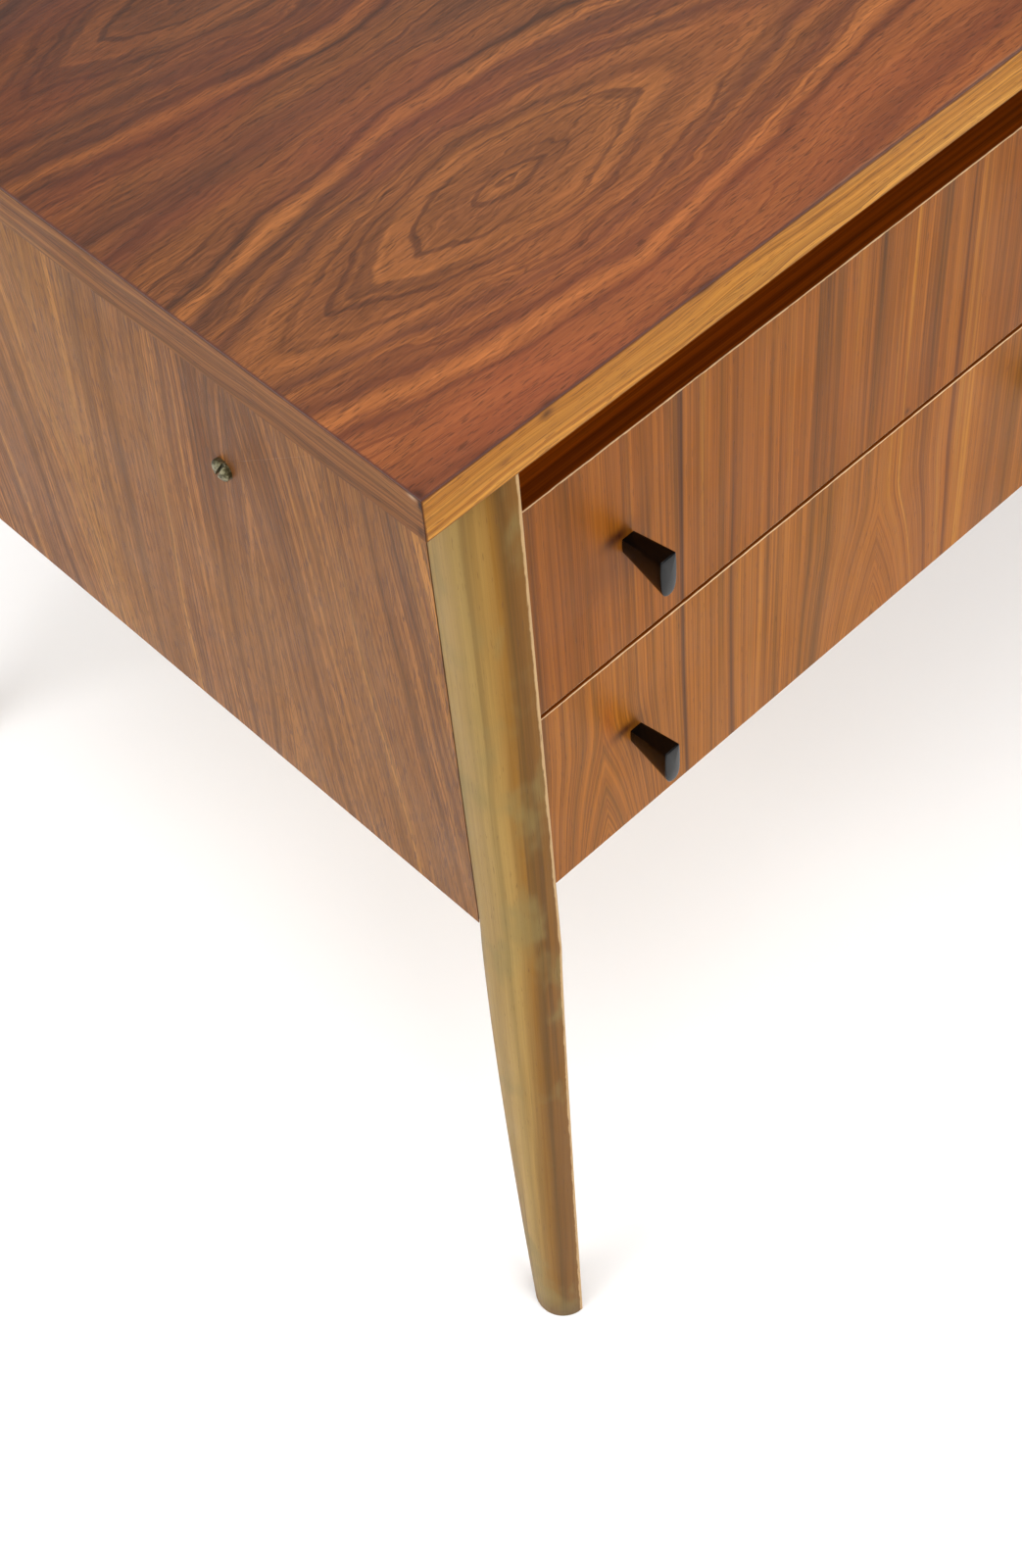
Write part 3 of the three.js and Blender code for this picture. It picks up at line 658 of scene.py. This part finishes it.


# Cut from one length of wood, planed flat inside and round outside, under lacquer, with a painted
# highlight along the arrises.
def makeLegWood(name, look, finish):
    material, tree, shader = makeMaterial(name)
    x, y, z = woodPlaces(tree)
    girth = addNode(tree, "Attribute", attribute_name="girth").outputs["Fac"]
    arris = addNode(tree, "Attribute", attribute_name="arris").outputs["Fac"]
    bend = grainNoise(tree, (z, x, y), (240.0, 30.0, 30.0), 2.0, 0.5, look["seed"])
    swayed = sway(tree, bend, look["bend"], girth)
    wide, figure = addStripes(tree, z, swayed, (700.0, 420.0), look)
    share = addNode(tree, "Math", [sway(tree, wide, 16.0, arris), 1 / look["toneReach"]],
                    operation="MULTIPLY")
    dark = grainNoise(tree, (z, swayed, 0.0), (520.0, 3.4, 1.0), 1.0, 0.5, look["seed"] + 4.4)
    patch = grainNoise(tree, (z, x, y), (70.0, 30.0, 30.0), 3.0, 0.6, look["seed"] + 6.0)
    arrisHighlightWobble = grainNoise(tree, (z, x, y), (12.0, 4.0, 4.0), 3.0, 0.6, look["seed"] + 8.0)
    ragged = sway(tree, arrisHighlightWobble, 2.2, arris)
    # Painted sheen: paler away from the arrises.
    colour = addNode(tree, "ValToRGB", [share], look["tones"])
    colour = addTone(tree, colour, figure, 0.36, 0.64, 0.8, 1.2)
    colour = addStain(tree, colour, dark, 0.62, 0.74, look["darkLines"], look["darkColour"])
    colour = addStain(tree, colour, patch, 0.5, 0.68, 0.65, look["patchColour"])
    colour = addStain(tree, colour, z, 26.0, 0.0, 0.45, look["grubbyColour"])
    # Painted highlight: a pale, ragged line along both arrises.
    colour = addStain(tree, colour, ragged, 2.9, 2.1, 0.85, look["arrisHighlightColour"])
    finishWood(tree, shader, colour, (z, girth, y), finish)
    return material


def makeLeg(node, material, shape):
    low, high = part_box(node)
    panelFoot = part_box("left_side_panel")[0].z
    side = 1 if "left" in node else -1          # the round side looks to -X * side
    end = 1 if "front" in node else -1
    flat = high.x if side > 0 else low.x
    corner = low.y if end > 0 else high.y
    radius = (high.y - low.y) / 2
    height = high.z
    easeSteps, backSteps, flatSteps, taperSteps = 4, 26, 8, 24
    ease = shape["arris"] * mm / radius
    quarter = [math.pi / 2 * i / easeSteps for i in range(easeSteps + 1)]
    eased = [(ease * (1 - math.cos(angle)), ease * (1 - math.sin(angle))) for angle in quarter]
    first = math.asin(min(1, 2 * ease))
    back = [first + (math.pi - 2 * first) * i / backSteps for i in range(backSteps + 1)]
    # The section runs from the arris at the desk's end, as (out, along) in shares of the radius.
    section = eased + [(math.sin(angle), 1 - math.cos(angle)) for angle in back]
    section += [(out, 2 - along) for out, along in reversed(eased)]
    section += [(0.0, 2 - ease - (2 - 2 * ease) * i / flatSteps) for i in range(1, flatSteps)]
    girths, walked = [], 0.0
    for i, point in enumerate(section):
        if i:
            walked += math.dist(point, section[i - 1])
        girths.append(walked)
    around = walked + math.dist(section[-1], section[0])
    far = section.index(max(section, key=lambda point: point[1]))
    rings, girthRows, arrisRows = [], [], []
    rounding = shape["footRounding"] * mm
    heights = [rounding * (1 - math.cos(angle)) for angle in quarter[:-1]]
    heights += [rounding + (panelFoot - rounding) * i / taperSteps for i in range(taperSteps + 1)]
    heights.append(height)
    for level in heights:
        down = max(0.0, 1 - level / panelFoot)
        inset = rounding - math.sqrt(max(0.0, rounding ** 2 - (rounding - min(level, rounding)) ** 2))
        scale = (1 - shape["taper"] * down ** 1.5) * radius
        lean = side * shape["lean"] * mm * down ** 0.8
        shrink = 1 - inset / radius
        rings.append([(flat - lean - side * (out * scale * shrink + (inset if out < 0.01 else 0)),
                       corner + end * (along * scale * shrink + inset), level)
                      for out, along in section])
        girthRows.append([girth * scale / mm for girth in girths])
        arrisRows.append([min(girth, abs(girth - girths[far]), around - girth) * scale / mm
                          for girth in girths])
    mesh = skinRings(node + "Turned", rings, 50,
                     (("girth", girthRows), ("arris", arrisRows)))
    makeObject(node + "_turned", mesh, material, node, "desk")


knobShape = {
    "axisFromTop": 9.0,         # knob axis, below the top of its end face
    "baseWidth": 7.5,
    "baseHeight": 10.0,
    "edge": 0.7,                # rounding of the end face's edge
    "crown": 0.5,               # how far the middle of the end face stands proud of its rim
    # Half of the end face from the middle of its top, in shares of the width and of rise or drop.
    "outline": ((0.0, 1.0), (0.24, 1.0), (0.44, 0.995), (0.47, 0.96), (0.485, 0.7), (0.5, 0.45),
                (0.505, 0.2), (0.5, -0.1), (0.49, -0.3), (0.475, -0.5), (0.44, -0.68),
                (0.38, -0.82), (0.29, -0.92), (0.17, -0.98), (0.0, -1.0)),
}


# Pressed black phenolic: a deep gloss with faint waves left by the mould and hairline scratches.
def makeKnobPlastic():
    material, tree, shader = makeMaterial("phenolicMoulded")
    places = woodPlaces(tree)
    cloud = grainNoise(tree, places, (6.0, 6.0, 6.0), 3.0, 0.6, 300.0)
    rub = grainNoise(tree, places, (5.0, 0.5, 0.5), 3.0, 0.7, 305.0)
    colour = addStain(tree, "#040404", cloud, 0.4, 0.7, 1.0, "#080706")
    rough = addNode(tree, "MapRange", [rub, 0.3, 0.75, 0.12, 0.26])
    dressShader(tree, shader, colour, rough, cloud, 0.25, 0.05)
    shader.inputs["IOR"].default_value = 1.55
    shader.inputs["Specular IOR Level"].default_value = 0.14
    return material


def makeKnob(node, body, material, shape):
    low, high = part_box(node)
    axis = Vector(((low.x + high.x) / 2, high.y, high.z - shape["axisFromTop"] * mm))
    length, width = high.y - low.y, high.x - low.x
    rise, drop = high.z - axis.z, axis.z - low.z
    outline = list(shape["outline"])
    outline += [(-share, place) for share, place in reversed(outline[1:-1])]
    edge = shape["edge"] * mm
    crown = shape["crown"] * mm
    reach = length - edge - crown
    lengthSteps, edgeSteps = 12, 4
    rings = [(reach * step / lengthSteps, step / lengthSteps, 0.0, 1.0)
             for step in range(lengthSteps + 1)]
    for step in range(1, edgeSteps + 1):
        angle = math.pi / 2 * step / edgeSteps
        rings.append((reach + edge * math.sin(angle), 1.0, edge * (1 - math.cos(angle)), 1.0))
    for share in (0.85, 0.65, 0.4, 0.15):
        rings.append((reach + edge + crown * (1 - share ** 2), 1.0, edge, share))
    rows = []
    for distance, along, inset, shrink in rings:
        swell = 1 + 0.02 * math.sin(math.pi * along)
        wide = (shape["baseWidth"] * mm + (width - shape["baseWidth"] * mm) * along) * swell
        wide = min(wide, width) - 2 * inset
        up = shape["baseHeight"] / 2 * mm * (1 - along) + rise * along - inset
        down = shape["baseHeight"] / 2 * mm * (1 - along) + drop * along - inset
        middle = (up - down) / 2
        rows.append([(axis.x + share * wide * shrink, axis.y - distance,
                      axis.z + middle + (place * (up if place > 0 else down) - middle) * shrink)
                     for share, place in outline])
    mesh = skinRings(node + "Moulded", rows, 42)
    makeObject(node + "_moulded", mesh, material, node, body)


# Turned metal: tarnished brass is a dull olive, brighter where it was rubbed, and zinc-plated
# steel is a pale grey with cloudy patches.
def makeMetal(name, bright, dull, roughness, seed):
    material, tree, shader = makeMaterial(name)
    places = woodPlaces(tree)
    stain = grainNoise(tree, places, (3.0, 3.0, 3.0), 4.0, 0.65, seed)
    scratch = grainNoise(tree, places, (0.5, 4.0, 0.5), 2.0, 0.6, seed + 5)
    colour = addStain(tree, bright, stain, 0.38, 0.62, 1.0, dull)
    rough = addNode(tree, "MapRange", [stain, 0.3, 0.7, roughness, roughness + 0.2])
    dressShader(tree, shader, colour, rough, scratch, 0.3, 0.05)
    shader.inputs["Metallic"].default_value = 1.0
    return material


screwShape = {
    "slotTurn": 118.0,          # degrees from the back towards the floor and the front
    "slotWidth": 1.6,
    "slotDepth": 3.0,
    "rim": 0.5,                 # share of the head's height below its dome
    "shank": 0.4,               # its radius, as a share of the head's
}


# A slotted head laid out in columns along the slot, so that its walls stay crisp.
def makeScrew(node, material, shape):
    low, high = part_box(node)
    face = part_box("left_side_panel")[0].x
    centre = Vector((face, (low.y + high.y) / 2, (low.z + high.z) / 2))
    radius, height = (high.y - low.y) / 2, face - low.x
    turn = math.radians(shape["slotTurn"])
    alongSlot = Vector((0, math.cos(turn), math.sin(turn)))
    acrossSlot = Vector((0, -math.sin(turn), math.cos(turn)))
    half = shape["slotWidth"] * mm / 2
    sideSteps, rowSteps, shankSteps = 7, 12, 16
    side = [half + (radius * 0.998 - half) * math.sin(math.pi / 2 * i / sideSteps)
            for i in range(sideSteps + 1)]
    columns = [(-place, 0.0) for place in reversed(side)]
    columns += [(-half, 1.0), (half, 1.0)] + [(place, 0.0) for place in side]
    build = bmesh.new()
    rows = []
    for across, sunk in columns:
        reach = math.sqrt(radius ** 2 - across ** 2)
        row = []
        for i in range(rowSteps + 1):
            along = -reach * math.cos(math.pi * i / rowSteps)
            spot = 1 - (across ** 2 + along ** 2) / radius ** 2
            top = height * (shape["rim"] + (1 - shape["rim"]) * math.sqrt(max(0.0, spot)))
            if sunk:
                top = height - shape["slotDepth"] * mm
            place = centre + alongSlot * along + acrossSlot * across
            row.append(build.verts.new((face - top, place.y, place.z)))
        rows.append(row)
    for first, second in zip(rows, rows[1:]):
        for i in range(rowSteps):
            build.faces.new((first[i], first[i + 1], second[i + 1], second[i]))
    rim = rows[0] + [row[-1] for row in rows[1:]] + rows[-1][-2::-1]
    rim += [row[0] for row in rows[-2:0:-1]]
    foot = [build.verts.new((face + 0.1 * mm, vertex.co.y, vertex.co.z)) for vertex in rim]
    turns = [2 * math.pi * i / shankSteps for i in range(shankSteps)]
    thin = radius * shape["shank"]
    shank = [build.verts.new((face, centre.y + thin * math.cos(angle),
                              centre.z + thin * math.sin(angle))) for angle in turns]
    end = [build.verts.new((high.x, vertex.co.y, vertex.co.z)) for vertex in shank]
    for ring, other in ((rim, foot), (shank, end)):
        for i in range(len(ring)):
            j = (i + 1) % len(ring)
            build.faces.new((ring[i], ring[j], other[j], other[i]))
        build.faces.new(other)
    build.faces.new(shank)
    mesh = closeMesh(build, node + "Turned", 38)
    makeObject(node + "_turned", mesh, material, node, "desk")


def makeFittings():
    legs = makeLegWood("legWoodPlaned", legLook, finishFor(seed=250.0, pores=0.04, poreDepth=0.5,
                                                           poreColour="#5a3b1c", roughness=0.48))
    for node in ("front_left_leg", "front_right_leg", "back_left_leg", "back_right_leg"):
        makeLeg(node, legs, legShape)
    plastic = makeKnobPlastic()
    for level in ("upper", "lower"):
        for side in ("left", "right"):
            makeKnob(level + "_" + side + "_knob", level + "_drawer", plastic, knobShape)
    brass = makeMetal("brassTarnished", "#8a8468", "#4c4730", 0.42, 310.0)
    steel = makeMetal("steelZincPlated", "#b4b4b0", "#7c7a74", 0.3, 320.0)
    for node in ("front_panel_screw", "rear_panel_screw"):
        makeScrew(node, brass, screwShape)
    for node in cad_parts:
        if node.endswith("_knob_screw"):
            paint(node, steel)
            soften(node, 0.2)
    print("fittings: legs, knobs and screws")


floorLook = {"half": 14.0, "tone": "#fbfbfb", "cloudTone": "#f6f6f6"}


# Painted plaster, rolled flat: an even pale ground with no gloss.
def makeFloor(look):
    material, tree, shader = makeMaterial("plasterPainted")
    cloud = grainNoise(tree, woodPlaces(tree), (400.0, 400.0, 400.0), 2.0, 0.5, 330.0)
    colour = addStain(tree, look["tone"], cloud, 0.3, 0.7, 0.15, look["cloudTone"])
    tree.links.new(colour.outputs[2], shader.inputs["Base Color"])
    shader.inputs["Roughness"].default_value = 0.9
    shader.inputs["Specular IOR Level"].default_value = 0.1
    build = bmesh.new()
    half = look["half"]
    corners = [build.verts.new((x, y, 0)) for x, y in ((-half, -half), (half, -half),
                                                        (half, half), (-half, half))]
    build.faces.new(corners)
    mesh = bpy.data.meshes.new("floor")
    build.to_mesh(mesh)
    build.free()
    mesh.materials.append(material)
    floor = bpy.data.objects.new("floor", mesh)
    scene.collection.objects.link(floor)
    print("floor: pale plain plaster")


makeCamera(cameraLook)
makeLights(lightLook)
dressBoards()
makeFittings()
makeFloor(floorLook)
